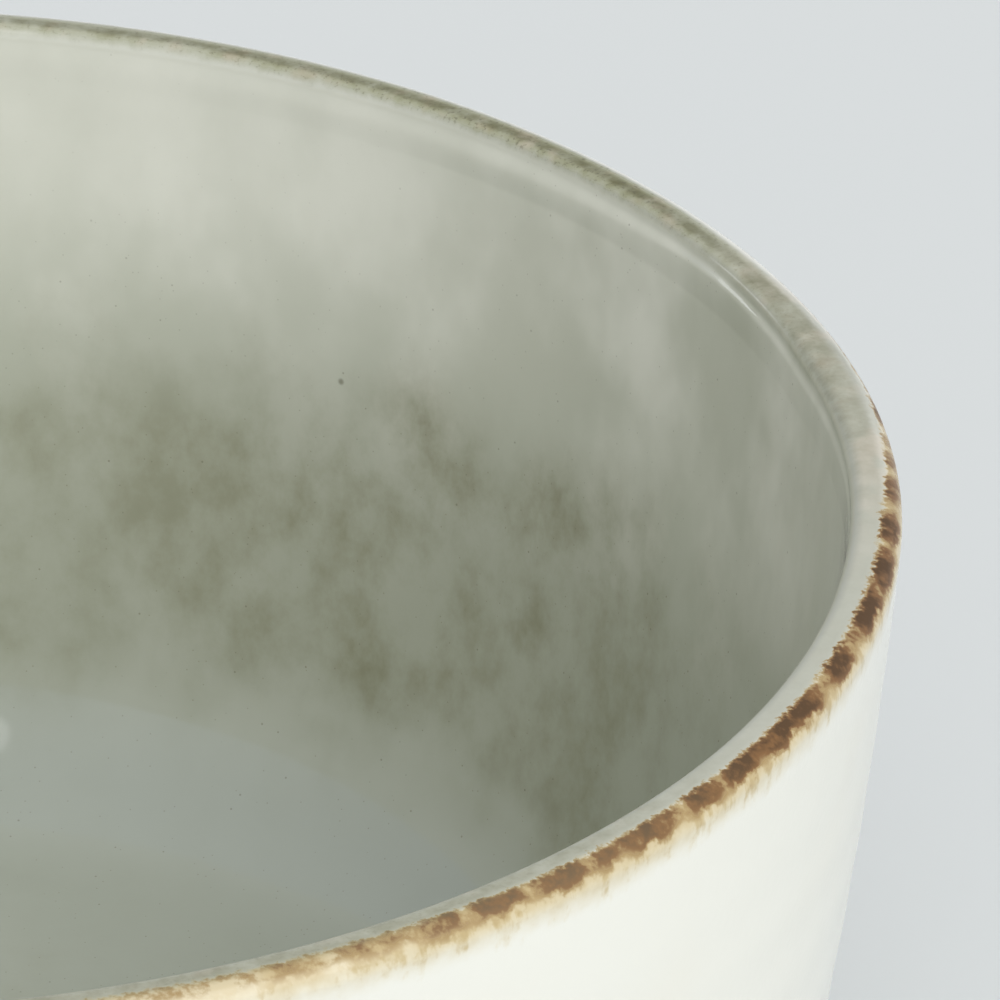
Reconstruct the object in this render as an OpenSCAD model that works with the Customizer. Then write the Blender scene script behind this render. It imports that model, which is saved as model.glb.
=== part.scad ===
// A stoneware latte bowl: a thrown clay body with a turned foot ring, and the glaze coats on it.
// Every section is a revolve about Z. Z = 0 is the face that the bowl stands on. Sizes are millimetres.

/* [Bowl] */
// Outside diameter over the glazed lip
rim_d = 140; // [110:1:180]
// Height from the standing face to the top of the glazed lip
bowl_h = 68; // [56:1:84]
// How far the wall leans out from upright just below the lip, in degrees
wall_lean = 3.7; // [2:0.1:6]
// Radius of the slow outward bow of the wall, seen in section
wall_bow_r = 420; // [260:10:900]

/* [Clay] */
// Thickness of the clay just below the lip
lip_t = 2.8; // [2.4:0.1:5]
// Thickness of the clay where the wall turns in to the base
heel_t = 3.6; // [2.6:0.1:6]
// Thickness of the clay in the middle of the floor
floor_t = 5; // [3.6:0.1:8]
// Radius of the slow hollow of the floor inside, seen in section
floor_bow_r = 800; // [400:10:2000]
// Radius of the lip's inner edge in the clay
lip_inner_r = 0.7; // [0.4:0.1:1]
// Radius of the lip's outer edge in the clay
lip_outer_r = 1.2; // [0.6:0.1:1.3]
// Radius of the turn from the wall to the floor inside
bottom_turn_r = 15; // [8:0.5:20]
// Radius of the turn from the wall to the base outside
heel_turn_r = 21; // [14:0.5:24]

/* [Foot ring] */
// Width of the flat of the base between the turn of the heel and the hollow above the foot ring
foot_shelf = 4.8; // [1:0.1:10]
// Width of the foot ring near the standing face
foot_w = 5; // [4:0.1:8]
// How far both faces of the foot ring lean, so that it narrows downwards, in degrees
foot_taper = 6; // [0:0.5:10]
// Height of the foot ring outside, from the standing face to the base
foot_h = 5.4; // [4.5:0.1:8]
// Depth of the recess inside the foot ring
foot_well_h = 5; // [4:0.1:6.5]
// Radius of the two worn edges of the standing face
foot_edge_r = 1.1; // [0.4:0.1:1.6]
// Radius of the hollow where the foot ring meets the base outside
foot_hollow_r = 1.8; // [1:0.1:2.2]
// Radius of the hollow where the foot ring meets the base inside the recess
well_hollow_r = 1.6; // [1:0.1:1.8]

/* [Glaze] */
// Thickness of every glaze coat
glaze_t = 0.3; // [0.15:0.05:0.5]
// How far the brown rim coat comes down outside, below the top of the lip
rim_band_drop = 4; // [2.5:0.1:8]
// Height of the outer glaze line above the standing face
glaze_line_h = 2.4; // [1.8:0.1:3]
// Height of the glaze line inside the recess above the standing face
well_line_h = 2.2; // [1.8:0.1:2.4]

/* [Hidden] */
$fn = 144;
// Straight pieces in each sort of arc
edge_steps = 8;
turn_steps = 18;
wall_steps = 12;
band_steps = 3;
floor_steps = 4;
roll_steps = 5;
// Points of an outline that lie closer than this share of a coat's thickness are one point
weld_share = 0.01;

// The clay's own overall sizes, inside its coats
clay_r = rim_d / 2 - glaze_t;
clay_h = bowl_h - glaze_t;
floor_z = foot_well_h + floor_t;
quarter = 90;

// A unit vector at an angle, and an arc about a centre from one angle to another
function heading(angle) = [cos(angle), sin(angle)];
function arc(centre, radius, from, to, steps) =
    [for (i = [0:steps]) centre + radius * heading(from + (to - from) * i / steps)];

// The centre, at a given height, of a small circle that touches a large one from inside
function nested_centre(large_c, large_r, small_r, height) =
    [large_c[0] + sqrt(pow(large_r - small_r, 2) - pow(height - large_c[1], 2)), height];

// The lower right point where two circles cross
function crossing(c1, r1, c2, r2) = let (
    apart = norm(c2 - c1), along = (c2 - c1) / apart,
    reach = (r1 * r1 - r2 * r2 + apart * apart) / (2 * apart))
    c1 + reach * along + sqrt(r1 * r1 - reach * reach) * [along[1], -along[0]];

// How far a leaning face of the foot ring lies, across, from a point inside the ring: the face passes the
// point at a square distance, and is measured a rise above the point
function face_reach(distance, rise) = (distance + rise * sin(foot_taper)) / cos(foot_taper);

// The angle at which one point is seen from another
function bearing(from, to) = atan2(to[1] - from[1], to[0] - from[0]);

// An outline without its doubled points, and a list turned end for end
function welded(points) =
    [for (i = [0:len(points) - 1])
        if (i == 0 || norm(points[i] - points[i - 1]) > glaze_t * weld_share) points[i]];
function reversed(points) = [for (i = [len(points) - 1:-1:0]) points[i]];

// Outside of the wall: the lip's outer edge, the bowed wall and the heel touch each other in turn
lip_outer_c = [clay_r - lip_outer_r, clay_h - lip_outer_r];
wall_outer_c = lip_outer_c - (wall_bow_r - lip_outer_r) * heading(-wall_lean);
heel_c = nested_centre(wall_outer_c, wall_bow_r, heel_turn_r, foot_h + heel_turn_r);
heel_angle = bearing(wall_outer_c, heel_c);
band_angle = asin((bowl_h - rim_band_drop - wall_outer_c[1]) / wall_bow_r);

// Inside of the wall: it leans a little more than the outside, so that the wall thickens downwards
inner_lean = wall_lean + atan((heel_t - lip_t) / (clay_h - floor_z - bottom_turn_r));
lip_inner_c = [clay_r - lip_t + lip_inner_r, clay_h - lip_inner_r];
wall_inner_c = lip_inner_c - (wall_bow_r + lip_inner_r) * heading(-inner_lean);
floor_c = [0, floor_z + floor_bow_r];
bottom_c = crossing(wall_inner_c, wall_bow_r - bottom_turn_r, floor_c, floor_bow_r - bottom_turn_r);
bottom_angle = bearing(wall_inner_c, bottom_c);
floor_angle = bearing(floor_c, bottom_c);

// The foot ring, from the heel inwards: the hollow under the base, the ring's two worn edges, and the
// hollow in the recess, with the ring's leaning faces between them
foot_hollow_c = [heel_c[0] - foot_shelf, foot_h - foot_hollow_r];
outer_edge_x = foot_hollow_c[0] - face_reach(foot_edge_r + foot_hollow_r, foot_hollow_c[1] - foot_edge_r);
outer_edge_c = [outer_edge_x, foot_edge_r];
inner_edge_c = [outer_edge_x - foot_w + 2 * foot_edge_r, foot_edge_r];
well_hollow_z = foot_well_h - well_hollow_r;
well_hollow_x = inner_edge_c[0] - face_reach(foot_edge_r + well_hollow_r, well_hollow_z - foot_edge_r);
well_hollow_c = [well_hollow_x, well_hollow_z];
glaze_line_x = outer_edge_c[0] + face_reach(foot_edge_r, glaze_line_h - foot_edge_r);
well_line_x = inner_edge_c[0] - face_reach(foot_edge_r, well_line_h - foot_edge_r);

// The stretches of the surface, each raised by a coat's thickness: 0 gives the clay, glaze_t the glaze.
// From the middle of the floor up the inside to the crest of the lip
function inside_path(coat) = concat(
    arc(floor_c, floor_bow_r - coat, -quarter, floor_angle, floor_steps),
    arc(bottom_c, bottom_turn_r - coat, floor_angle, bottom_angle, turn_steps),
    arc(wall_inner_c, wall_bow_r - coat, bottom_angle, -inner_lean, wall_steps + band_steps),
    arc(lip_inner_c, lip_inner_r + coat, 2 * quarter - inner_lean, quarter, edge_steps),
    [[lip_outer_c[0], clay_h + coat]]);

// Over the outer shoulder of the lip and down to the end of the rim band
function rim_path(coat) = concat(
    arc(lip_outer_c, lip_outer_r + coat, quarter, -wall_lean, edge_steps),
    arc(wall_outer_c, wall_bow_r + coat, -wall_lean, band_angle, band_steps));

// Down the wall, round the heel, into the hollow and down the foot ring to the glaze line
function outside_path(coat) = concat(
    arc(wall_outer_c, wall_bow_r + coat, band_angle, heel_angle, wall_steps),
    arc(heel_c, heel_turn_r + coat, heel_angle, -quarter, turn_steps),
    arc(foot_hollow_c, foot_hollow_r - coat, quarter, 2 * quarter - foot_taper, edge_steps),
    [[glaze_line_x, glaze_line_h] + coat * heading(-foot_taper)]);

// Round the bare foot, across the standing face
function foot_path() = concat(
    arc(outer_edge_c, foot_edge_r, -foot_taper, -quarter, edge_steps),
    arc(inner_edge_c, foot_edge_r, -quarter, foot_taper - 2 * quarter, edge_steps));

// Up the inside of the foot ring and across the roof of the recess to its middle
function well_path(coat) = concat(
    [[well_line_x, well_line_h] - coat * heading(foot_taper)],
    arc(well_hollow_c, well_hollow_r - coat, foot_taper, quarter, edge_steps),
    [[0, foot_well_h - coat]]);

// The rolled edge in which a coat stops on the bare clay, about the point of the clay under it
function rolled_edge(clay_point, from, to) = arc(clay_point, glaze_t, from, to, roll_steps);
outer_roll = rolled_edge([glaze_line_x, glaze_line_h], -foot_taper - quarter, -foot_taper);
well_roll = rolled_edge([well_line_x, well_line_h], foot_taper + 2 * quarter, foot_taper + 3 * quarter);

// A solid of revolution from a closed outline
module turned(outline) { rotate_extrude() polygon(welded(outline)); }

// A coat: the space between the clay and the glaze's own surface along the same stretch, with the rolled
// edges that close it where it stops on the bare clay: one after the clay line, one after the glaze line
module coat_on(clay_line, glaze_line, roll_after_clay = [], roll_after_glaze = []) {
    turned(concat(clay_line, roll_after_clay, reversed(glaze_line), roll_after_glaze));
}

module stoneware_body() {
    over_the_lip = concat(inside_path(0), rim_path(0), outside_path(0));
    color([0.76, 0.68, 0.57]) turned(concat(over_the_lip, foot_path(), well_path(0)));
}

module liner_glaze() {
    color([0.68, 0.70, 0.61]) coat_on(inside_path(0), inside_path(glaze_t));
}

module rim_glaze() {
    color([0.48, 0.36, 0.24]) coat_on(rim_path(0), rim_path(glaze_t));
}

module outer_glaze() {
    color([0.93, 0.93, 0.90]) coat_on(outside_path(0), outside_path(glaze_t), outer_roll);
}

module foot_well_glaze() {
    color([0.93, 0.93, 0.90]) coat_on(well_path(0), well_path(glaze_t), roll_after_glaze = well_roll);
}

stoneware_body();
liner_glaze();
rim_glaze();
outer_glaze();
foot_well_glaze();
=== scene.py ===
# Stoneware latte bowl: the thrown clay body, the sage liner, the iron-brown lip, the cream outside
# and the cream coat in the recess of the foot, each a closed piece of its own.
import math
import random

import bmesh
import bpy
from mathutils import Matrix, Vector, noise


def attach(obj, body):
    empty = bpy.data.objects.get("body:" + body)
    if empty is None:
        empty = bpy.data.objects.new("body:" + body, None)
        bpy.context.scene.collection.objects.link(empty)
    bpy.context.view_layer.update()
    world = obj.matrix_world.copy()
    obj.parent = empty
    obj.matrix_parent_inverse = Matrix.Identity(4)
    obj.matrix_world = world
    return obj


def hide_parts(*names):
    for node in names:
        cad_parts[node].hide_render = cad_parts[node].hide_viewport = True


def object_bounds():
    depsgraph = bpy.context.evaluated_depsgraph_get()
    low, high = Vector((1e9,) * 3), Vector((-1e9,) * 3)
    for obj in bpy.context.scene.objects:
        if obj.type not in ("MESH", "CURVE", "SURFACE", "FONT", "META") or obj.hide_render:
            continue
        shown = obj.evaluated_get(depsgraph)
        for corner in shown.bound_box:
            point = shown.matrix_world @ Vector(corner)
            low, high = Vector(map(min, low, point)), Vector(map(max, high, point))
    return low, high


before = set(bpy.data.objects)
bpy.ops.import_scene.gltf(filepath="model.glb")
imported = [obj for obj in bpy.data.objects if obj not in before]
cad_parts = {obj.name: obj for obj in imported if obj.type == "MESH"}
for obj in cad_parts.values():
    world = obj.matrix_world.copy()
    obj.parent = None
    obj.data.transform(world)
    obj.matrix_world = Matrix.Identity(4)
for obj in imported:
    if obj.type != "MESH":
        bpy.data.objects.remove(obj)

cadLow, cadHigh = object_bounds()
mm = 0.001
deg = math.pi / 180
up = Vector((0, 0, 1))

# Azimuths are degrees round the bowl: 0 is the far side from the camera, 90 the right, 180 the near
# side. "reach" is the way along the surface from the crest of the lip, in mm: below 0 inside, above 0
# outside.

photoView = {
    "distance": 0.6,       # from the middle of the lip's circle, in metres
    "lift": 27.66,         # above the horizon
    "aimRight": 0.04411,   # the point of the lip's plane in the middle of the frame
    "aimFar": -0.00633,
    "roll": 1.273,
    "lens": 340.4,
    "sensor": 36,
    "clipNear": 0.01,
    "clipFar": 50,
}


def placeCamera():
    lipMiddle = Vector((0, 0, cadHigh.z))
    lift = photoView["lift"] * deg
    stand = lipMiddle + photoView["distance"] * Vector((0, -math.cos(lift), math.sin(lift)))
    aim = lipMiddle + Vector((photoView["aimRight"], photoView["aimFar"], 0))
    turn = (aim - stand).to_track_quat("-Z", "Y").to_matrix()
    roll = Matrix.Rotation(photoView["roll"] * deg, 3, "Z")
    data = bpy.data.cameras.new("photoCamera")
    data.lens = photoView["lens"]
    data.sensor_width = photoView["sensor"]
    data.clip_start = photoView["clipNear"]
    data.clip_end = photoView["clipFar"]
    camera = bpy.data.objects.new("photoCamera", data)
    camera.matrix_world = Matrix.Translation(stand) @ (turn @ roll).to_4x4()
    bpy.context.scene.collection.objects.link(camera)
    bpy.context.scene.camera = camera


placeCamera()
print("camera in place")

# The bowl's section, in mm and degrees
bowl = {
    "rimRadius": min(cadHigh.x, cadHigh.y, -cadLow.x, -cadLow.y) / mm,
    "height": cadHigh.z / mm,
    "wallLean": 3.7,
    "wallBow": 420,
    "lipThick": 2.8,
    "heelThick": 3.6,
    "floorThick": 5,
    "floorBow": 800,
    "lipInnerRound": 0.7,
    "lipOuterRound": 1.2,
    "bottomTurn": 15,
    "heelTurn": 21,
    "footShelf": 4.8,
    "footWide": 5,
    "footTaper": 6,
    "footHigh": 5.4,
    "wellDeep": 5,
    "footEdge": 1.1,
    "footHollow": 1.8,
    "wellHollow": 1.6,
    "glaze": 0.3,
    "bandDrop": 4,
    "glazeLine": 2.4,
    "wellLine": 2.2,
    "rollDeep": 5,         # the top of the inside wall, where the glaze forms a roll
    "segments": 640,       # round the axis
    "doublings": 4,        # of the sector that is spun
    "endSteps": 6,         # of the rolled edge in which a coat stops
    "wellReach": 20,       # where the recess starts, past all that lies on the lip
    "weld": 0.002,
    "sharp": 40,           # edges that turn by more stay sharp
}


def heading(angle):
    return Vector((math.cos(angle * deg), 0, math.sin(angle * deg)))


def bearing(start, end):
    return math.atan2(end.z - start.z, end.x - start.x) / deg


def nested(large, largeRound, smallRound, height):
    # centre of a small circle that touches a large one from inside
    across = math.sqrt((largeRound - smallRound) ** 2 - (height - large.z) ** 2)
    return Vector((large.x + across, 0, height))


def crossing(first, firstRound, second, secondRound):
    # lower right point where two circles cross
    apart = (second - first).length
    along = (second - first) / apart
    part = (firstRound ** 2 - secondRound ** 2 + apart ** 2) / (2 * apart)
    aside = math.sqrt(firstRound ** 2 - part ** 2)
    return first + part * along + aside * Vector((along.z, 0, -along.x))


def faceReach(distance, rise):
    # how far across a leaning face of the foot lies from a point inside the foot ring
    taper = bowl["footTaper"] * deg
    return (distance + rise * math.sin(taper)) / math.cos(taper)


def workOutSection():
    b, s = bowl, {}
    clayRadius = b["rimRadius"] - b["glaze"]
    clayTop = b["height"] - b["glaze"]
    floorTop = b["wellDeep"] + b["floorThick"]
    s["lipOuter"] = Vector((clayRadius - b["lipOuterRound"], 0, clayTop - b["lipOuterRound"]))
    s["wallOuter"] = s["lipOuter"] - (b["wallBow"] - b["lipOuterRound"]) * heading(-b["wallLean"])
    s["heel"] = nested(s["wallOuter"], b["wallBow"], b["heelTurn"], b["footHigh"] + b["heelTurn"])
    s["heelAngle"] = bearing(s["wallOuter"], s["heel"])
    bandRise = b["height"] - b["bandDrop"] - s["wallOuter"].z
    s["bandAngle"] = math.asin(bandRise / b["wallBow"]) / deg
    wallRise = clayTop - floorTop - b["bottomTurn"]
    s["innerLean"] = b["wallLean"] + math.atan((b["heelThick"] - b["lipThick"]) / wallRise) / deg
    lipInnerX = clayRadius - b["lipThick"] + b["lipInnerRound"]
    s["lipInner"] = Vector((lipInnerX, 0, clayTop - b["lipInnerRound"]))
    s["wallInner"] = s["lipInner"] - (b["wallBow"] + b["lipInnerRound"]) * heading(-s["innerLean"])
    s["floor"] = Vector((0, 0, floorTop + b["floorBow"]))
    s["bottom"] = crossing(
        s["wallInner"], b["wallBow"] - b["bottomTurn"], s["floor"], b["floorBow"] - b["bottomTurn"])
    s["bottomAngle"] = bearing(s["wallInner"], s["bottom"])
    s["floorAngle"] = bearing(s["floor"], s["bottom"])
    s["footHollow"] = Vector((s["heel"].x - b["footShelf"], 0, b["footHigh"] - b["footHollow"]))
    drop = s["footHollow"].z - b["footEdge"]
    outerEdgeX = s["footHollow"].x - faceReach(b["footEdge"] + b["footHollow"], drop)
    s["outerEdge"] = Vector((outerEdgeX, 0, b["footEdge"]))
    s["innerEdge"] = Vector((outerEdgeX - b["footWide"] + 2 * b["footEdge"], 0, b["footEdge"]))
    wellZ = b["wellDeep"] - b["wellHollow"]
    wellX = s["innerEdge"].x - faceReach(b["footEdge"] + b["wellHollow"], wellZ - b["footEdge"])
    s["wellHollow"] = Vector((wellX, 0, wellZ))
    glazeLineX = s["outerEdge"].x + faceReach(b["footEdge"], b["glazeLine"] - b["footEdge"])
    s["glazeLine"] = Vector((glazeLineX, 0, b["glazeLine"]))
    wellLineX = s["innerEdge"].x - faceReach(b["footEdge"], b["wellLine"] - b["footEdge"])
    s["wellLine"] = Vector((wellLineX, 0, b["wellLine"]))
    s["crest"] = Vector((s["lipOuter"].x, 0, clayTop))
    s["crestInner"] = Vector((lipInnerX, 0, clayTop))
    s["bandEnd"] = s["wallOuter"] + b["wallBow"] * heading(s["bandAngle"])
    return s


section = workOutSection()
outerFace = heading(-bowl["footTaper"])     # which way the foot ring's faces look
innerFace = -heading(bowl["footTaper"])

# Stretches of the clay's surface: ("line", end, which way a coat lies on it, steps) or
# ("arc", centre, sweep in degrees, steps); "fine" is for what shows, "coarse" for what a coat covers
fine, coarse = 1, 0
rollSweep = bowl["rollDeep"] / bowl["wallBow"] / deg
wallSweep = section["bottomAngle"] + section["innerLean"] + rollSweep
insideStretches = [
    ("line", section["crestInner"], up, (1, 3)),
    ("arc", section["lipInner"], 90 - section["innerLean"], (4, 12)),
    ("arc", section["wallInner"], -rollSweep, (1, 35)),
    ("arc", section["wallInner"], wallSweep, (9, 32)),
    ("arc", section["bottom"], section["floorAngle"] - section["bottomAngle"], (8, 24)),
    ("arc", section["floor"], -90 - section["floorAngle"], (2, 16)),
]
lipStretches = [
    ("arc", section["lipOuter"], -90 - bowl["wallLean"], (5, 26)),
    ("arc", section["wallOuter"], section["bandAngle"] + bowl["wallLean"], (2, 18)),
]
outsideStretches = [
    ("arc", section["wallOuter"], section["heelAngle"] - section["bandAngle"], (10, 60)),
    ("arc", section["heel"], -90 - section["heelAngle"], (10, 28)),
    ("line", section["footHollow"] + bowl["footHollow"] * up, -up, (1, 4)),
    ("arc", section["footHollow"], 90 - bowl["footTaper"], (5, 12)),
    ("line", section["glazeLine"], outerFace, (1, 6)),
]
footStretches = [
    ("line", section["outerEdge"] + bowl["footEdge"] * outerFace, outerFace, (4, 4)),
    ("arc", section["outerEdge"], bowl["footTaper"] - 90, (14, 14)),
    ("line", section["innerEdge"] - bowl["footEdge"] * up, -up, (10, 10)),
    ("arc", section["innerEdge"], bowl["footTaper"] - 90, (14, 14)),
    ("line", section["wellLine"], innerFace, (4, 4)),
]
wellStretches = [
    ("line", section["wellHollow"] - bowl["wellHollow"] * innerFace, innerFace, (1, 4)),
    ("arc", section["wellHollow"], 90 - bowl["footTaper"], (5, 12)),
    ("line", bowl["wellDeep"] * up, -up, (2, 40)),
]


def lineTo(bm, trail, end, steps):
    start = trail[-1].co.copy()
    for i in range(steps):
        trail.append(bmesh.ops.extrude_vert_indiv(bm, verts=[trail[-1]])["verts"][0])
        trail[-1].co = start.lerp(end, (i + 1) / steps)


def arcRound(bm, trail, centre, sweep, steps):
    for i in range(steps):
        spun = bmesh.ops.spin(
            bm, geom=[trail[-1]], cent=centre, axis=(0, -1, 0), angle=sweep * deg / steps, steps=1)
        trail.append(spun["geom_last"][0])


def drawLine(bm, start, stretches, coat, detail):
    # the clay's line, raised by a coat's thickness
    trail = [bm.verts.new(start)]
    for kind, place, along, steps in stretches:
        if kind == "line":
            lineTo(bm, trail, place + coat * along, steps[detail])
        else:
            arcRound(bm, trail, place, along, steps[detail])
    return trail


def measure(bm, trail, reach, facingSide):
    # notes on each point of a shown line how far along it lies and which way it looks
    layers = bm.verts.layers.float
    for i, vert in enumerate(trail):
        before = trail[max(i - 1, 0)].co
        after = trail[min(i + 1, len(trail) - 1)].co
        along = (after - before).normalized()
        if i:
            reach += (vert.co - before).length * facingSide
        vert[layers["reach"]] = reach
        vert[layers["lookAcross"]] = -along.z * facingSide
        vert[layers["lookUp"]] = along.x * facingSide
    return reach


def newSection(*extra):
    bm = bmesh.new()
    for name in ("reach", "lookAcross", "lookUp") + extra:
        bm.verts.layers.float.new(name)
    return bm


# Hand-made unevenness, in mm; it is always taken off the coat, so nothing grows past its size
unevenness = {
    "sway": 0.05,          # slow waves of the wall
    "swayLength": 17,
    "swayOnLip": 0.3,      # share of them at the crest
    "swayFade": 9,
    "ripple": 0.022,       # fine waves in the glaze
    "rippleLength": 4.2,
    "throwing": 0.035,     # rings left by the fingers outside, a helix
    "throwingPitch": 6.5,
    "throwingStart": 6,    # below the crest
    "throwingFade": 10,
    "driftLength": 30,     # how slowly the helix wanders, and by which part of a turn
    "driftPart": 3,
    "turning": 0.06,       # grooves of the turning tool on the bare foot
    "turningPitch": 0.85,
    "turningFade": 0.6,    # above the standing face
    "turningLength": 9,
    "bead": 0.235,         # the roll in which the glaze hangs just inside the lip
    "beadStart": -1.2,
    "beadTop": -2.3,
    "beadRidge": -3.0,
    "beadFoot": -5.2,
    "beadEnd": -16,
    "beadTail": 0.7,       # how thin the coat is again under the roll
    "beadLeast": 0.7,      # how full the roll is at the least, by slow waves
    "beadLength": 9,
    "spiral": 0.02,        # what the fingers leave inside, down the wall and across the floor
    "spiralStart": -20,
    "spiralFade": 20,
}

# Where each kind of wave lies in the noise
seeds = {"sway": 3.7, "ripple": 9.1, "drift": 5.2, "bead": 6.1, "well": 2.3, "tool": 7.7}


def waves(place, length, seed):
    # smooth noise from 0 to 1
    return min(max(0.5 + 0.5 * noise.noise(place / length + Vector((seed, seed, seed))), 0), 1)


def azimuthOf(place):
    return math.atan2(place.x, place.y) / deg % 360


def readRound(table, azimuth):
    # the value at an azimuth, along straight lines between those in the table
    for (start, low), (end, high) in zip(table, table[1:]):
        if azimuth <= end:
            return low + (high - low) * (azimuth - start) / (end - start)
    return table[-1][1]


# How full the roll under the lip is, by azimuth
rollRound = [
    (0, 0.15), (24, 0.15), (40, 0.45), (50, 0.9), (58, 1.0), (71, 1.0), (77, 0.5), (92, 0.4),
    (102, 0.2), (130, 0.6), (165, 0.3), (205, 0.85), (240, 0.4), (275, 0.9), (320, 0.5), (345, 0.6),
    (360, 0.15),
]

# How far the roll hangs below its usual place, and how much broader than usual it is, in mm; where it
# hangs lower, the lip's olive band and its dark line reach lower too, partly as painted shade under the
# lip
dropAndShadeRound = [
    (0, 0), (66, 0), (74, 0.4), (79, 0.85), (84, 0.7), (92, 0.3), (125, 0), (200, 0), (216, 0.6),
    (236, 0.1), (290, 0.4), (330, 0), (360, 0),
]
broadRound = [
    (0, 0.8), (50, 0.8), (58, 0.5), (65, 0), (96, 0), (130, 0.4), (200, 0.5), (250, 0), (300, 0.6),
    (360, 0.8),
]


def beadRelief(place, reach):
    # the coat is thin above the ridge of the roll, full on it, thin again under it, and full far below
    u = unevenness
    azimuth = azimuthOf(place)
    ridge = u["beadRidge"] - readRound(broadRound, azimuth)
    along = [u["beadStart"], u["beadTop"], ridge, u["beadFoot"], u["beadEnd"]]
    depths = [0, 1, 0, u["beadTail"], 0]
    near = min(max((u["beadEnd"] - reach) / u["beadEnd"], 0), 1)
    lowered = reach + readRound(dropAndShadeRound, azimuth) * near
    if not along[-1] < lowered < along[0]:
        return 0
    for start, end, low, high in zip(along, along[1:], depths, depths[1:]):
        if lowered >= end:
            share = low + (high - low) * (start - lowered) / (start - end)
            break
    uneven = u["beadLeast"] + (1 - u["beadLeast"]) * waves(place, u["beadLength"], seeds["bead"])
    fullness = readRound(rollRound, azimuth) * uneven
    return u["bead"] * fullness * (0.5 - 0.5 * math.cos(math.pi * share))


def helixRing(place, along):
    # 0 to 1 across a ring that climbs by one pitch a turn and wanders a little
    u = unevenness
    wander = waves(place, u["driftLength"], seeds["drift"]) / u["driftPart"]
    climb = along / u["throwingPitch"] + azimuthOf(place) / 360 + wander
    return 0.5 + 0.5 * math.sin(2 * math.pi * climb)


def glazeRelief(place, reach):
    u = unevenness
    swaying = min(u["swayOnLip"] + abs(reach) / u["swayFade"], 1)
    depth = u["sway"] * waves(place, u["swayLength"], seeds["sway"]) * swaying
    depth += u["ripple"] * waves(place, u["rippleLength"], seeds["ripple"])
    if u["beadEnd"] < reach < u["beadStart"]:
        depth += beadRelief(place, reach)
    inward = u["spiralStart"] - reach
    if inward > 0:
        depth += u["spiral"] * helixRing(place, reach) * min(inward / u["spiralFade"], 1)
    below = reach - u["throwingStart"]
    if below > 0:
        depth += u["throwing"] * helixRing(place, place.z) * min(below / u["throwingFade"], 1)
    return depth


def wellRelief(place, reach):
    return unevenness["ripple"] * waves(place, unevenness["rippleLength"], seeds["well"])


def turningRelief(place, reach):
    # grooves follow the tool round the ring, and fade where the foot rests
    u = unevenness
    groove = 0.5 + 0.5 * math.sin(2 * math.pi * reach / u["turningPitch"] + azimuthOf(place) * deg)
    resting = min(place.z / u["turningFade"], 1)
    return u["turning"] * groove * resting * waves(place, u["turningLength"], seeds["tool"])


def turnSolid(bm, relief):
    # spins the section through a sector, doubles that round the axis until it closes, and takes the
    # unevenness off what shows
    sector = 2 * math.pi / 2 ** bowl["doublings"]
    bmesh.ops.spin(
        bm, geom=bm.verts[:] + bm.edges[:], cent=(0, 0, 0), axis=up, angle=sector,
        steps=bowl["segments"] // 2 ** bowl["doublings"])
    for i in range(bowl["doublings"]):
        made = bmesh.ops.duplicate(bm, geom=bm.verts[:] + bm.edges[:] + bm.faces[:])["geom"]
        moved = [part for part in made if isinstance(part, bmesh.types.BMVert)]
        turn = Matrix.Rotation(sector * 2 ** i, 3, "Z")
        bmesh.ops.rotate(bm, verts=moved, cent=(0, 0, 0), matrix=turn)
    bmesh.ops.remove_doubles(bm, verts=bm.verts[:], dist=bowl["weld"])
    bmesh.ops.recalc_face_normals(bm, faces=bm.faces[:])
    layers = bm.verts.layers.float
    for vert in bm.verts:
        look = Vector((vert[layers["lookAcross"]], 0, vert[layers["lookUp"]]))
        shows = look.length > 0.5       # measured points have a look of length 1, the rest of 0
        if shows:
            turn = Matrix.Rotation(math.atan2(vert.co.y, vert.co.x), 3, "Z")
            vert.co -= turn @ look * relief(vert.co, vert[layers["reach"]])


def finishPiece(bm, name, node, material):
    bmesh.ops.scale(bm, vec=(mm, mm, mm), verts=bm.verts[:])
    for face in bm.faces:
        face.smooth = True
    for edge in bm.edges:
        if edge.calc_face_angle(0) > bowl["sharp"] * deg:
            edge.smooth = False
    mesh = bpy.data.meshes.new(name)
    bm.to_mesh(mesh)
    bm.free()
    piece = bpy.data.objects.new(name, mesh)
    bpy.context.scene.collection.objects.link(piece)
    mesh.materials.append(material)
    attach(piece, "root")
    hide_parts(node)
    print(name, "has", len(mesh.vertices), "vertices")
    return piece


# Node helpers
def newMaterial(name):
    material = bpy.data.materials.new(name)
    material.use_nodes = True
    material.node_tree.nodes.clear()
    return material, material.node_tree


def put(tree, kind, inputs=None, **settings):
    made = tree.nodes.new("ShaderNode" + kind)
    for key, value in settings.items():
        setattr(made, key, value)
    for key, value in (inputs or {}).items():
        if isinstance(value, bpy.types.NodeSocket):
            tree.links.new(value, made.inputs[key])
        else:
            made.inputs[key].default_value = value
    return made


def reckon(tree, operation, first, second=0.0, third=0.0, clamp=False):
    made = put(tree, "Math", {0: first, 1: second, 2: third}, operation=operation, use_clamp=clamp)
    return made.outputs[0]


def times(tree, first, *others):
    for other in others:
        first = reckon(tree, "MULTIPLY", first, other)
    return first


def about(tree, value, middle, swing, onto=0.0):
    # how far a value lies from its middle, times swing, added onto another
    made = reckon(tree, "MULTIPLY_ADD", value, swing, -middle * swing)
    return reckon(tree, "ADD", made, onto)


def between(tree, value, low, high, start=0.0, end=1.0):
    # a smooth step from start at low to end at high
    inputs = {"Value": value, "From Min": low, "From Max": high, "To Min": start, "To Max": end}
    return put(tree, "MapRange", inputs, interpolation_type="SMOOTHSTEP").outputs["Result"]


def blend(tree, share, first, second):
    made = put(tree, "Mix", {0: share, 6: first, 7: second}, data_type="RGBA")
    return made.outputs[2]


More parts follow.
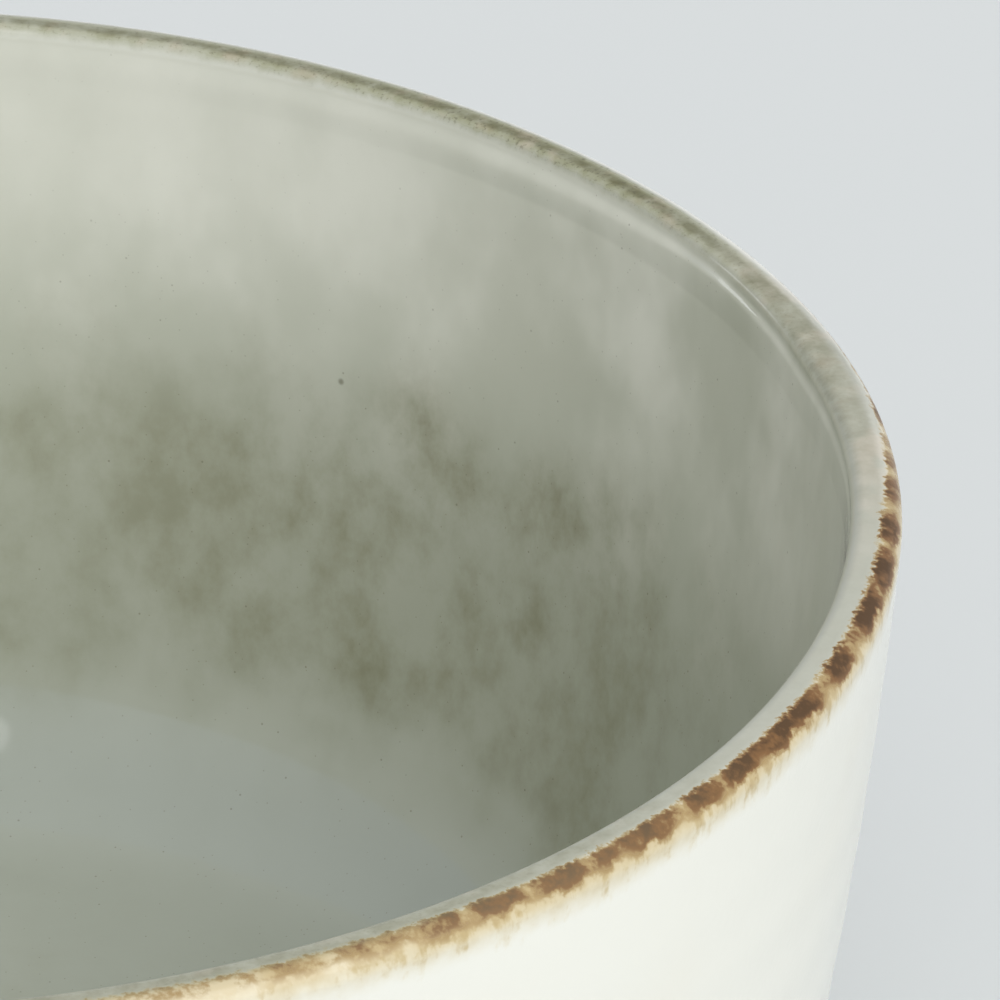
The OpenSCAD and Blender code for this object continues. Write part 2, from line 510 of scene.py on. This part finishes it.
def grain(tree, place, size, detail=2.0, rough=0.5, shift=0.0, tall=1.0):
    # noise whose features are about size mm across, and tall times as high
    inputs = {"Vector": place, "Location": (shift, shift, shift), "Scale": (1, 1, 1 / tall)}
    moved = put(tree, "Mapping", inputs).outputs[0]
    inputs = {"Vector": moved, "Scale": 1 / (size * mm), "Detail": detail, "Roughness": rough}
    return put(tree, "TexNoise", inputs).outputs["Fac"]


def specks(tree, place, spacing, radius, shift=0.0):
    # 1 in the core of each speck, 0 outside it; spacing and radius in mm
    core = 0.6
    moved = put(tree, "Mapping", {"Vector": place, "Location": (shift, shift, shift)}).outputs[0]
    made = put(tree, "TexVoronoi", {"Vector": moved, "Scale": 1 / (spacing * mm)})
    return between(tree, made.outputs["Distance"], radius / spacing, radius / spacing * core)


def noted(tree, name):
    return put(tree, "Attribute", attribute_name=name).outputs["Fac"]


def linear(part):
    # one part of a screen's colour, 0 to 1, turned linear
    if part < 0.04045:
        return part / 12.92
    return ((part + 0.055) / 1.055) ** 2.4


def paint(red, green, blue):
    # a colour given as on a screen, 0 to 255
    return [linear(part / 255) for part in (red, green, blue)] + [1]


def ramp(tree, value, *stops):
    made = put(tree, "ValToRGB", {"Fac": value})
    elements = made.color_ramp.elements
    while len(elements) < len(stops):
        elements.new(0.5)
    for element, (position, colour) in zip(elements, stops):
        element.position = position
        element.color = colour
    return made.outputs["Color"]


def surface(tree, colour, rough, bump=None, bumpHeight=0.0, **shader):
    inputs = {"Base Color": colour, "Roughness": rough, **shader}
    if bump is not None:
        lift = put(tree, "Bump", {"Strength": 1.0, "Distance": bumpHeight * mm, "Height": bump})
        inputs["Normal"] = lift.outputs["Normal"]
    made = put(tree, "BsdfPrincipled", inputs)
    out = put(tree, "OutputMaterial")
    tree.links.new(made.outputs["BSDF"], out.inputs["Surface"])


glazePaint = {
    "lipPale": paint(194, 195, 182),
    "cream": paint(234, 234, 225),
    "creamWarm": paint(230, 227, 213),
    # the next colour is partly a cloud tone of the glaze and partly painted light on the upper inner
    # wall, where the key lamp falls
    "sagePaleAndLit": paint(232, 233, 223),
    "sage": paint(198, 201, 187),
    # these two colours are partly a deeper glaze tone and partly painted shade of the bowl's hollow
    "sageDeepShaded": paint(176, 180, 165),
    "sageFloorShaded": paint(164, 169, 159),
    "mottle": paint(136, 136, 108),
    "mottleDark": paint(110, 108, 78),
    "olive": paint(134, 134, 92),
    "oliveDark": paint(88, 82, 36),
    "speck": paint(92, 86, 62),
    "halo": paint(210, 194, 148),
    "ochre": paint(170, 145, 100),
    "brown": paint(126, 88, 48),
    "darkBrown": paint(76, 48, 20),
    "taupe": paint(142, 126, 98),
    "pink": paint(190, 176, 156),
    "blush": paint(216, 207, 192),
    "white": paint(240, 240, 234),
}


# How the stains lie on the lip. A noise is (size in mm, detail, roughness, shift, how much taller than
# wide), an edge is where a stain begins and where it is full, in mm of reach, and "Ragged" is how far
# noise moves it
lipLook = {
    "blot": (1.7, 3, 0.6, 0.4),
    "grain": (0.55, 3, 0.6, 0.9),
    "drip": (1.1, 3, 0.55, 1.3, 4.0),
    "ironTop": (-0.05, 0.5),
    "ironTopRagged": 1.2,
    "ironFoot": (1.15, 2.15, 1.0, 0.0),
    "ironFootRagged": (2.6, 1.0),
    "ironUneven": (1.5, 0.8),
    "haloFoot": (1.3, 3.9, 1.0, 0.0),
    "haloRagged": 3.4,
    "hazeFoot": (1.2, 4.2, 0.95, 0.0),
    "hazeRagged": 1.4,
    "haloByIron": (0.0, 0.35, 0.6, 0.95),
    "haloOchre": 0.7,
    "blushNoise": (2.8, 2, 0.5, 3.1),
    "blushBlots": (0.42, 0.6, 0.15, 0.9),
    "blushInside": (-1.7, -0.9),
    "blushOutside": (1.8, 0.8),
    "ochreFrom": (0.05, 0.34),      # how much iron turns the glaze to each colour
    "brownFrom": (0.3, 0.6),
    "darkFrom": (0.55, 0.98),
    "taupe": 1.2,
    "oliveRagged": (0.6, 0.3),
    "oliveFoot": (-2.25, -1.2),
    "oliveTop": (0.55, -0.2),
    "oliveShare": (0.8, 0.3),
    "pinkNoise": (1.9, 2, 0.5, 2.2),
    "pinkSpots": (0.5, 0.75),
    "pink": 0.5,
    "crestFoot": (-1.4, -0.8),
    "crestTop": (0.05, -0.45),
    "crestRaise": -1.1,             # where the olive hangs lower, its dark line is broader; partly painted shade under the lip
    "crestShare": (0.3, 1.6, 0.2),
    "speckleNoise": (0.3, 3, 0.65, 1.7),
    "speckle": (0.54, 0.68),
    "speckleShare": 0.6,
}


def lipLayers(tree, place, reach, base):
    # what the iron does over the lip: brown outside the crest, an olive speckle on the inner edge,
    # which also carries some painted shade under the lip where the roll hangs lower
    g, look = glazePaint, lipLook
    blot = grain(tree, place, *look["blot"])
    fineGrain = grain(tree, place, *look["grain"])
    drips = grain(tree, place, *look["drip"])
    iron = noted(tree, "iron")
    onward = reckon(tree, "SUBTRACT", reach, noted(tree, "ironStart"))
    byBlot, byGrain = look["ironFootRagged"]
    swing = about(tree, blot, 0.5, byBlot, about(tree, fineGrain, 0.5, byGrain))
    rise = between(tree, about(tree, fineGrain, 0.5, look["ironTopRagged"], onward), *look["ironTop"])
    fall = between(tree, reckon(tree, "ADD", onward, swing), *look["ironFoot"])
    hang = about(tree, drips, 0.5, look["haloRagged"], reckon(tree, "ADD", onward, swing))
    haze = between(tree, about(tree, blot, 0.5, look["hazeRagged"], onward), *look["hazeFoot"])
    haloFall = reckon(tree, "MAXIMUM", between(tree, hang, *look["haloFoot"]), haze)
    byBlot, byGrain = look["ironUneven"]
    amount = about(tree, blot, 0.5, byBlot, about(tree, fineGrain, 0.5, byGrain, iron))
    amount = reckon(tree, "MULTIPLY", amount, times(tree, rise, fall), clamp=True)
    haloShare = times(tree, rise, haloFall, between(tree, iron, *look["haloByIron"]))
    blots = between(tree, grain(tree, place, *look["blushNoise"]), *look["blushBlots"])
    inner = between(tree, reach, *look["blushInside"])
    crest = times(tree, inner, between(tree, reach, *look["blushOutside"]))
    blush = times(tree, blots, crest, noted(tree, "blush"))
    colour = blend(tree, haloShare, blend(tree, blush, base, g["blush"]), g["halo"])
    haloHeart = times(tree, haloShare, haloShare, haloShare, look["haloOchre"])
    colour = blend(tree, haloHeart, colour, g["ochre"])
    colour = blend(tree, between(tree, amount, *look["ochreFrom"]), colour, g["ochre"])
    colour = blend(tree, between(tree, amount, *look["brownFrom"]), colour, g["brown"])
    colour = blend(tree, between(tree, amount, *look["darkFrom"]), colour, g["darkBrown"])

    olive = noted(tree, "olive")
    colour = blend(tree, times(tree, amount, olive, look["taupe"]), colour, g["taupe"])
    # the olive band reaches lower where the roll hangs lower: partly olive glaze, partly painted shade
    # under the lip
    drop = noted(tree, "drop")
    byBlot, byGrain = look["oliveRagged"]
    shifted = about(tree, blot, 0.5, byBlot, about(tree, fineGrain, 0.5, byGrain, reach))
    lowered = reckon(tree, "ADD", shifted, drop)
    bandTop = between(tree, shifted, *look["oliveTop"])
    band = times(tree, between(tree, lowered, *look["oliveFoot"]), bandTop, olive)
    swell, least = look["oliveShare"]
    share = times(tree, band, about(tree, blot, 0.0, swell, least))
    colour = blend(tree, share, colour, g["olive"])
    pinkSpots = between(tree, grain(tree, place, *look["pinkNoise"]), *look["pinkSpots"])
    colour = blend(tree, times(tree, band, pinkSpots, look["pink"]), colour, g["pink"])
    # the dark line broadens where the roll hangs lower, painted shade under the lip in part
    raised = reckon(tree, "MULTIPLY_ADD", drop, look["crestRaise"], shifted)
    crestFoot = between(tree, lowered, *look["crestFoot"])
    crestLine = times(tree, crestFoot, between(tree, raised, *look["crestTop"]), olive)
    crestShare = times(tree, crestLine, about(tree, blot, *look["crestShare"]))
    colour = blend(tree, crestShare, colour, g["oliveDark"])
    speckle = between(tree, grain(tree, place, *look["speckleNoise"]), *look["speckle"])
    colour = blend(tree, times(tree, band, speckle, olive, look["speckleShare"]), colour, g["speck"])
    return colour, amount, band


# Noises and edges as on the lip; a speck is (spacing, radius, shift), in mm
sageLook = {
    "clouds": (26, 2, 0.5, 0.1),
    "puffs": (9, 3, 0.5, 0.45, 1.3),
    "cloudMix": (1.0, 0.8, 0.5),
    # the wall's paleness towards the lip is partly painted light from the key lamp
    "palerEdge": (-26, -8),
    "paleAndLit": 0.7,
    "sageCloud": (0.28, 0.62),
    "lowerRagged": 16.0,
    # darker towards the bottom and across the floor: partly a deeper glaze tone, partly painted shade
    "deepShadeEdge": (-12, -36, 0, 0.95),
    "deepWherePale": (-0.1, 1.0),
    "floorShadeEdge": (-44, -57, 0, 0.85),
    "blobs": (4.6, 5, 0.6, 0.27, 1.25),
    "clusters": (13, 2, 0.5, 0.63),
    "mottleTop": (-15, -31),
    "mottleFoot": (-56, -41),
    "floorMottle": (-66, -84, 0.0, 0.28),
    "patchMix": (0.75, 1.25, 0.5),
    "spread": (0.0, 1.0, 0.07, 0.84),
    "patches": (0.28, 0.8, 0.27, 0.9),
    "hearts": (0.6, 0.9),
    "heart": 0.35,
    "fineSpeck": (1.9, 0.1),
    "fineShare": 0.4,
    "dust": (0.8, 0.07, 0.17),
    "dustShare": 0.3,
    "bigSpeck": (19.0, 0.42, 0.31),
    "bigShare": 0.6,
    "paleSpeck": (23.0, 0.25, 0.53),
    "paleShare": 0.8,
    "lipEdge": (-2.7, -1.5),
    "rough": 0.05,
    "roughMottle": 0.12,
    "roughBand": 0.32,
    "orangePeel": (0.9, 2, 0.5, 0.5),
    "peelHigh": 0.004,
}


def sageGlaze():
    g, look = glazePaint, sageLook
    material, tree = newMaterial("sageGlaze")
    place = put(tree, "TexCoord").outputs["Object"]
    reach = noted(tree, "reach")
    clouds = grain(tree, place, *look["clouds"])
    puffs = grain(tree, place, *look["puffs"])
    byClouds, byPuffs, middle = look["cloudMix"]
    cloudy = about(tree, clouds, 0.5, byClouds, about(tree, puffs, 0.5, byPuffs, middle))
    # painted light in part: the upper wall turns paler towards the lip where the key lamp falls on it,
    # most on the far side
    pale = noted(tree, "pale")
    paleAndLit = times(tree, pale, between(tree, reach, *look["palerEdge"]), look["paleAndLit"])
    greyer = reckon(tree, "SUBTRACT", 1.0, paleAndLit)
    sageShare = times(tree, between(tree, cloudy, *look["sageCloud"]), greyer)
    tone = blend(tree, sageShare, g["sagePaleAndLit"], g["sage"])
    # darker down the wall and across the floor: partly a deeper glaze tone, partly painted shade of the
    # hollow
    lower = about(tree, clouds, 0.5, look["lowerRagged"], reach)
    fall, most = look["deepWherePale"]
    deepShaded = times(tree, between(tree, lower, *look["deepShadeEdge"]), about(tree, pale, 0.0, fall, most))
    tone = blend(tree, deepShaded, tone, g["sageDeepShaded"])
    tone = blend(tree, between(tree, reach, *look["floorShadeEdge"]), tone, g["sageFloorShaded"])

    blobs = grain(tree, place, *look["blobs"])
    clusters = grain(tree, place, *look["clusters"])
    ragged = about(tree, puffs, 0.5, look["lowerRagged"], lower)
    mottled = noted(tree, "mottled")
    mottleTop = between(tree, ragged, *look["mottleTop"])
    zone = times(tree, mottleTop, between(tree, ragged, *look["mottleFoot"]), mottled)
    zone = reckon(tree, "MAXIMUM", zone, between(tree, reach, *look["floorMottle"]))
    byClusters, byBlobs, middle = look["patchMix"]
    patchy = about(tree, clusters, 0.5, byClusters, about(tree, blobs, 0.5, byBlobs, middle))
    spread = between(tree, zone, *look["spread"])
    mottle = times(tree, between(tree, patchy, *look["patches"]), spread)
    tone = blend(tree, mottle, tone, g["mottle"])
    heart = times(tree, between(tree, patchy, *look["hearts"]), zone, mottled, look["heart"])
    tone = blend(tree, heart, tone, g["mottleDark"])
    fineSpeck = specks(tree, place, *look["fineSpeck"])
    tone = blend(tree, times(tree, fineSpeck, greyer, look["fineShare"]), tone, g["speck"])
    dust = specks(tree, place, *look["dust"])
    tone = blend(tree, times(tree, dust, greyer, look["dustShare"]), tone, g["speck"])
    bigSpeck = specks(tree, place, *look["bigSpeck"])
    tone = blend(tree, times(tree, bigSpeck, look["bigShare"]), tone, g["speck"])
    paleSpeck = specks(tree, place, *look["paleSpeck"])
    tone = blend(tree, times(tree, paleSpeck, look["paleShare"]), tone, g["white"])
    tone = blend(tree, between(tree, reach, *look["lipEdge"]), tone, g["lipPale"])
    colour, _, band = lipLayers(tree, place, reach, tone)
    rough = reckon(tree, "MULTIPLY_ADD", mottle, look["roughMottle"], look["rough"])
    rough = reckon(tree, "MULTIPLY_ADD", band, look["roughBand"], rough)
    surface(tree, colour, rough, grain(tree, place, *look["orangePeel"]), look["peelHigh"])
    return material


ironLook = {
    "creamFrom": (0.0, 0.6),    # past the crest, in mm
    "creamHeld": -1.3,          # further out where the olive hangs lower
    "rough": 0.16,
    "roughIron": 0.32,
    "gloss": 0.5,
    "glossIron": -0.25,
    "bumps": (0.5, 3, 0.6, 0.8),
    "bumpHigh": 0.012,
}


def ironGlaze():
    g, look = glazePaint, ironLook
    material, tree = newMaterial("ironGlaze")
    place = put(tree, "TexCoord").outputs["Object"]
    reach = noted(tree, "reach")
    onward = reckon(tree, "MULTIPLY_ADD", noted(tree, "drop"), look["creamHeld"], reach)
    base = blend(tree, between(tree, onward, *look["creamFrom"]), g["lipPale"], g["cream"])
    colour, amount, _ = lipLayers(tree, place, reach, base)
    rough = reckon(tree, "MULTIPLY_ADD", amount, look["roughIron"], look["rough"])
    gloss = reckon(tree, "MULTIPLY_ADD", amount, look["glossIron"], look["gloss"])
    bumps = grain(tree, place, *look["bumps"])
    surface(tree, colour, rough, bumps, look["bumpHigh"], **{"Specular IOR Level": gloss})
    return material


creamLook = {
    "clouds": (22, 2, 0.5, 0.6),
    "warm": (0.4, 0.75, 0, 0.5),
    "warmFrom": (5, 8),         # below the crest, in mm
    "speck": (4.5, 0.16, 0.2),
    "speckShare": 0.35,
    "rough": 0.16,
    "orangePeel": (0.6, 2, 0.5, 0.5),
    "peelHigh": 0.006,
}


def creamGlaze():
    g, look = glazePaint, creamLook
    material, tree = newMaterial("creamGlaze")
    place = put(tree, "TexCoord").outputs["Object"]
    reach = noted(tree, "reach")
    clouds = grain(tree, place, *look["clouds"])
    base = blend(tree, between(tree, clouds, *look["warm"]), g["cream"], g["creamWarm"])
    base = blend(tree, between(tree, reach, *look["warmFrom"]), g["cream"], base)
    speck = specks(tree, place, *look["speck"])
    base = blend(tree, reckon(tree, "MULTIPLY", speck, look["speckShare"]), base, g["ochre"])
    colour = lipLayers(tree, place, reach, base)[0]
    surface(tree, colour, look["rough"], grain(tree, place, *look["orangePeel"]), look["peelHigh"])
    return material


clayLook = {
    "tones": (2.2, 4, 0.6, 0.3),
    "dark": (0.3, paint(196, 178, 150)),
    "middle": (0.52, paint(206, 190, 164)),
    "light": (0.75, paint(214, 200, 176)),
    "grog": (1.1, 0.14, 0.7),
    "grogShare": 0.6,
    "grogPaint": paint(120, 88, 60),
    "pale": (0.9, 0.12, 0.2),
    "paleShare": 0.5,
    "palePaint": paint(232, 224, 206),
    "rough": 0.85,
    "tooth": (0.35, 4, 0.7, 0.5),
    "toothHigh": 0.05,
}


def buffClay():
    look = clayLook
    material, tree = newMaterial("buffClay")
    place = put(tree, "TexCoord").outputs["Object"]
    tone = ramp(tree, grain(tree, place, *look["tones"]), look["dark"], look["middle"], look["light"])
    grog = specks(tree, place, *look["grog"])
    tone = blend(tree, reckon(tree, "MULTIPLY", grog, look["grogShare"]), tone, look["grogPaint"])
    pale = specks(tree, place, *look["pale"])
    tone = blend(tree, reckon(tree, "MULTIPLY", pale, look["paleShare"]), tone, look["palePaint"])
    surface(tree, tone, look["rough"], grain(tree, place, *look["tooth"]), look["toothHigh"])
    return material


# Dark patches of the brown edge: azimuth, half width in degrees, strength
darkPatches = [
    (90.5, 0.8, 0.3), (94.2, 1.2, 0.45), (98.8, 1.5, 0.85), (103.4, 2.1, 0.95), (108.0, 2.2, 1.0),
    (113.8, 1.6, 0.95), (118.6, 1.5, 1.0), (121.9, 1.9, 0.92), (126.0, 1.6, 0.82),
    (129.4, 1.4, 0.66), (134.0, 1.8, 0.74), (137.2, 0.9, 0.5), (140.2, 1.7, 0.7),
    (144.4, 1.6, 0.62), (147.8, 1.5, 0.5), (151.8, 1.3, 0.26), (156.2, 1.6, 0.18),
]


guessedEdge = {
    "seed": 12,
    "start": 170.0,
    "end": 360 + 86,
    "halfWidth": (0.8, 2.3),
    "strength": (0.3, 0.62),
    "swell": 0.36,         # how much darker the patches are in a few places round the edge
    "swells": 3,
    "swellStart": 1,
    "apart": (2.4, 6.2),
}
patchFlat = 4              # how evenly dark a patch is before it fades at its sides


def guessedPatches():
    # the same kind of patches where the photograph doesn't show the edge
    edge = guessedEdge
    dice = random.Random(edge["seed"])
    azimuth = edge["start"]
    found = []
    while azimuth < edge["end"]:
        swell = 0.5 + 0.5 * math.sin(azimuth * deg * edge["swells"] + edge["swellStart"])
        halfWidth = dice.uniform(*edge["halfWidth"])
        strength = dice.uniform(*edge["strength"]) + edge["swell"] * swell
        found.append((azimuth % 360, halfWidth, strength))
        azimuth += dice.uniform(*edge["apart"])
    return found


patches = darkPatches + guessedPatches()

# How brown the edge is between the patches, how strong the olive speckle is on the lip's inner edge,
# and how far outside the crest the brown starts
ironFloorRound = [
    (0, 0.2), (94, 0.28), (142, 0.28), (154, 0.16), (168, 0.13), (186, 0.3), (250, 0.16),
    (300, 0.3), (360, 0.2),
]
oliveRound = [
    (0, 0.7), (10, 0.68), (24, 0.8), (44, 1.0), (56, 1.0), (66, 0.62), (73, 0.52), (80, 0.45),
    (88, 0.3), (100, 0.1), (124, 0.12), (138, 0.38), (150, 0.45), (172, 0.45), (215, 0.3),
    (262, 0.65), (300, 0.35), (335, 0.7), (360, 0.7),
]
ironStartRound = [
    (0, 1.0), (82, 1.0), (92, 0.4), (97, -0.05), (140, -0.05), (152, -0.35), (176, -0.35),
    (190, 0.1), (240, 0.4), (290, 0.1), (340, 0.7), (360, 1.0),
]

# Where the lip breaks pale and pinkish instead
blushRound = [
    (0, 0), (62, 0), (74, 0.6), (88, 0.85), (98, 0.3), (108, 0), (205, 0), (225, 0.6), (248, 0),
    (360, 0),
]

# How strongly the liner is mottled, and how pale it is towards the lip; that paleness is partly painted
# light, strongest on the far side, where the key lamp falls on the inner wall
mottledRound = [
    (0, 0.62), (20, 0.62), (28, 0.72), (38, 0.95), (54, 1.0), (62, 0.82), (72, 0.5), (86, 0.36),
    (112, 0.25), (150, 0.7), (190, 1.0), (250, 0.6), (300, 0.85), (360, 0.62),
]
paleAndLitRound = [
    (0, 1.0), (36, 1.0), (58, 0.15), (80, 0.2), (90, 0.9), (98, 0.8), (108, 0.3), (130, 0.4),
    (170, 0.9), (205, 0.4), (260, 0.2), (310, 0.8), (360, 1.0),
]


def ironAt(azimuth):
    most = 0.0
    for middle, halfWidth, strength in patches:
        off = (azimuth - middle + 180) % 360 - 180
        most = max(most, strength * math.exp(-(off / halfWidth) ** patchFlat))
    return most + (1 - most) * readRound(ironFloorRound, azimuth)


roundNotes = ("iron", "olive", "ironStart", "mottled", "pale", "drop", "blush")


def paintRound(bm):
    layers = bm.verts.layers.float
    known = {}
    for vert in bm.verts:
        azimuth = round(azimuthOf(vert.co), 1)
        if azimuth not in known:
            rows = (oliveRound, ironStartRound, mottledRound, paleAndLitRound, dropAndShadeRound, blushRound)
            known[azimuth] = [ironAt(azimuth)] + [readRound(row, azimuth) for row in rows]
        for name, value in zip(roundNotes, known[azimuth]):
            vert[layers[name]] = value


def joined(bm, first, second):
    bm.edges.new((first, second))


def makeLiner():
    bm = newSection(*roundNotes)
    clay = drawLine(bm, section["crest"], insideStretches, 0, coarse)
    glaze = drawLine(bm, section["crest"] + bowl["glaze"] * up, insideStretches, bowl["glaze"], fine)
    joined(bm, clay[0], glaze[0])
    measure(bm, glaze, 0, -1)
    turnSolid(bm, glazeRelief)
    paintRound(bm)
    return finishPiece(bm, "linerGlaze", "liner_glaze", sageGlaze())


def makeLip():
    bm = newSection(*roundNotes)
    clay = drawLine(bm, section["crest"], lipStretches, 0, coarse)
    glaze = drawLine(bm, section["crest"] + bowl["glaze"] * up, lipStretches, bowl["glaze"], fine)
    joined(bm, clay[0], glaze[0])
    joined(bm, clay[-1], glaze[-1])
    lipReach = measure(bm, glaze, 0, 1)
    turnSolid(bm, glazeRelief)
    paintRound(bm)
    finishPiece(bm, "rimGlaze", "rim_glaze", ironGlaze())
    return lipReach


def makeOutside(lipReach, material):
    bm = newSection(*roundNotes)
    glazedEnd = section["bandEnd"] + bowl["glaze"] * heading(section["bandAngle"])
    clay = drawLine(bm, section["bandEnd"], outsideStretches, 0, coarse)
    glaze = drawLine(bm, glazedEnd, outsideStretches, bowl["glaze"], fine)
    measure(bm, glaze, lipReach, 1)
    arcRound(bm, glaze, section["glazeLine"], -90, bowl["endSteps"])
    joined(bm, clay[0], glaze[0])
    joined(bm, clay[-1], glaze[-1])
    turnSolid(bm, glazeRelief)
    paintRound(bm)
    finishPiece(bm, "outerGlaze", "outer_glaze", material)


def makeWell(material):
    bm = newSection(*roundNotes)
    clay = drawLine(bm, section["wellLine"], wellStretches, 0, coarse)
    glazedStart = section["wellLine"] + bowl["glaze"] * innerFace
    glaze = drawLine(bm, glazedStart, wellStretches, bowl["glaze"], fine)
    measure(bm, glaze, bowl["wellReach"], 1)
    rolled = glaze[:1]
    arcRound(bm, rolled, section["wellLine"], 90, bowl["endSteps"])
    joined(bm, clay[0], rolled[-1])
    turnSolid(bm, wellRelief)
    finishPiece(bm, "footWellGlaze", "foot_well_glaze", material)


def makeClay():
    bm = newSection()
    drawLine(bm, section["crest"], insideStretches, 0, coarse)
    over = drawLine(bm, section["crest"], lipStretches + outsideStretches, 0, coarse)
    bare = drawLine(bm, over[-1].co.copy(), footStretches, 0, fine)
    drawLine(bm, bare[-1].co.copy(), wellStretches, 0, coarse)
    measure(bm, bare, 0, 1)
    turnSolid(bm, turningRelief)
    finishPiece(bm, "clayBody", "stoneware_body", buffClay())


makeLiner()
lipReach = makeLip()
cream = creamGlaze()
makeOutside(lipReach, cream)
makeWell(cream)
makeClay()

stageSet = {
    "size": 8,
    "lower": 0.00005,      # the floor lies a hair below the foot
    "hole": 0.036,         # lets light from below reach the foot; the foot's flat face covers it
    "holeSides": 128,
    "paper": paint(212, 216, 217),
    "wall": paint(216, 220, 221),
    "fillDim": 0.33,       # the world's strength, away from and on its bright side
    "fillBright": 0.8,
    "fillAzimuth": 118,    # as on the bowl
    "fillLift": 12,
    "keyAzimuth": 160,
    "keyLift": 46,
    "keyAngle": 70,
    "keyStrength": 1.95,
    "windowAzimuth": 255,  # the bright side that the glaze mirrors
    "windowLift": 52,
    "windowEdges": (0.3, 0.95),
    "windowBright": 1.0,
    "windowPaint": paint(220, 236, 254),
    "mirroredDim": 0.5,    # what the glaze mirrors away from that side
    "stripAzimuth": 306,   # a small soft lamp that the roll under the lip mirrors
    "stripLift": 5,
    "stripFar": 1.0,
    "stripWide": 0.24,
    "stripHigh": 0.17,
    "stripStrength": 0.04,
    "stripSpread": 60,
}


def pointing(azimuth, lift):
    return Vector((
        math.sin(azimuth * deg) * math.cos(lift * deg), math.cos(azimuth * deg) * math.cos(lift * deg),
        math.sin(lift * deg)))


def makeStage():
    bm = bmesh.new()
    bmesh.ops.create_circle(bm, cap_ends=False, radius=stageSet["hole"], segments=stageSet["holeSides"])
    spread = bmesh.ops.extrude_edge_only(bm, edges=bm.edges[:])["geom"]
    rim = [part for part in spread if isinstance(part, bmesh.types.BMVert)]
    bmesh.ops.scale(bm, vec=[stageSet["size"] / 2 / stageSet["hole"]] * 3, verts=rim)
    bmesh.ops.translate(bm, vec=-stageSet["lower"] * up, verts=bm.verts[:])
    bmesh.ops.recalc_face_normals(bm, faces=bm.faces[:])
    if bm.faces[:][0].normal.z < 0:
        bmesh.ops.reverse_faces(bm, faces=bm.faces[:])
    mesh = bpy.data.meshes.new("floor")
    bm.to_mesh(mesh)
    bm.free()
    floor = bpy.data.objects.new("floor", mesh)
    bpy.context.scene.collection.objects.link(floor)
    material, tree = newMaterial("paperFloor")
    paper = put(tree, "BsdfDiffuse", {"Color": stageSet["paper"]}).outputs[0]
    clear = put(tree, "BsdfTransparent").outputs[0]
    under = put(tree, "NewGeometry").outputs["Backfacing"]
    both = put(tree, "MixShader", {0: under, 1: paper, 2: clear})
    out = put(tree, "OutputMaterial")
    tree.links.new(both.outputs[0], out.inputs["Surface"])
    mesh.materials.append(material)


def facing(tree, direction, azimuth, lift):
    # 1 straight towards a side, 0 square to it, -1 away from it
    inputs = {0: direction, 1: pointing(azimuth, lift)}
    return put(tree, "VectorMath", inputs, operation="DOT_PRODUCT").outputs["Value"]


def makeWorld():
    world = bpy.data.worlds.new("studio")
    bpy.context.scene.world = world
    world.use_nodes = True
    tree = world.node_tree
    tree.nodes.clear()
    rays = put(tree, "LightPath")
    seen = reckon(tree, "MAXIMUM", rays.outputs["Is Camera Ray"], rays.outputs["Is Transmission Ray"])
    direction = put(tree, "TexCoord").outputs["Generated"]
    s = stageSet
    side = facing(tree, direction, s["fillAzimuth"], s["fillLift"])
    spread = between(tree, side, -1.0, 1.0, s["fillDim"], s["fillBright"])
    fill = put(tree, "Background", {"Color": (1, 1, 1, 1), "Strength": spread}).outputs[0]
    wall = put(tree, "Background", {"Color": s["wall"], "Strength": 1.0}).outputs[0]
    both = put(tree, "MixShader", {0: seen, 1: fill, 2: wall}).outputs[0]
    window = facing(tree, direction, s["windowAzimuth"], s["windowLift"])
    bright = between(tree, window, *s["windowEdges"], s["mirroredDim"], s["windowBright"])
    mirrored = put(tree, "Background", {"Color": s["windowPaint"], "Strength": bright}).outputs[0]
    both = put(tree, "MixShader", {0: rays.outputs["Is Glossy Ray"], 1: both, 2: mirrored}).outputs[0]
    out = put(tree, "OutputWorld")
    tree.links.new(both, out.inputs["Surface"])


def makeKey():
    data = bpy.data.lights.new("keyLight", "SUN")
    data.energy = stageSet["keyStrength"]
    data.angle = stageSet["keyAngle"] * deg
    lamp = bpy.data.objects.new("keyLight", data)
    towards = pointing(stageSet["keyAzimuth"], stageSet["keyLift"])
    lamp.matrix_world = towards.to_track_quat("Z", "Y").to_matrix().to_4x4()
    bpy.context.scene.collection.objects.link(lamp)


def makeStrip():
    s = stageSet
    data = bpy.data.lights.new("stripLight", "AREA")
    data.shape = "RECTANGLE"
    data.size = s["stripWide"]
    data.size_y = s["stripHigh"]
    data.energy = s["stripStrength"]
    data.spread = s["stripSpread"] * deg
    lamp = bpy.data.objects.new("stripLight", data)
    towards = pointing(s["stripAzimuth"], s["stripLift"])
    turn = towards.to_track_quat("Z", "Y").to_matrix().to_4x4()
    lamp.matrix_world = Matrix.Translation(cadHigh.z * up + s["stripFar"] * towards) @ turn
    lamp.visible_camera = False
    bpy.context.scene.collection.objects.link(lamp)


makeStage()
makeWorld()
makeKey()
makeStrip()
bpy.context.scene.view_settings.view_transform = "Standard"
print("stage, world and lamps in place")
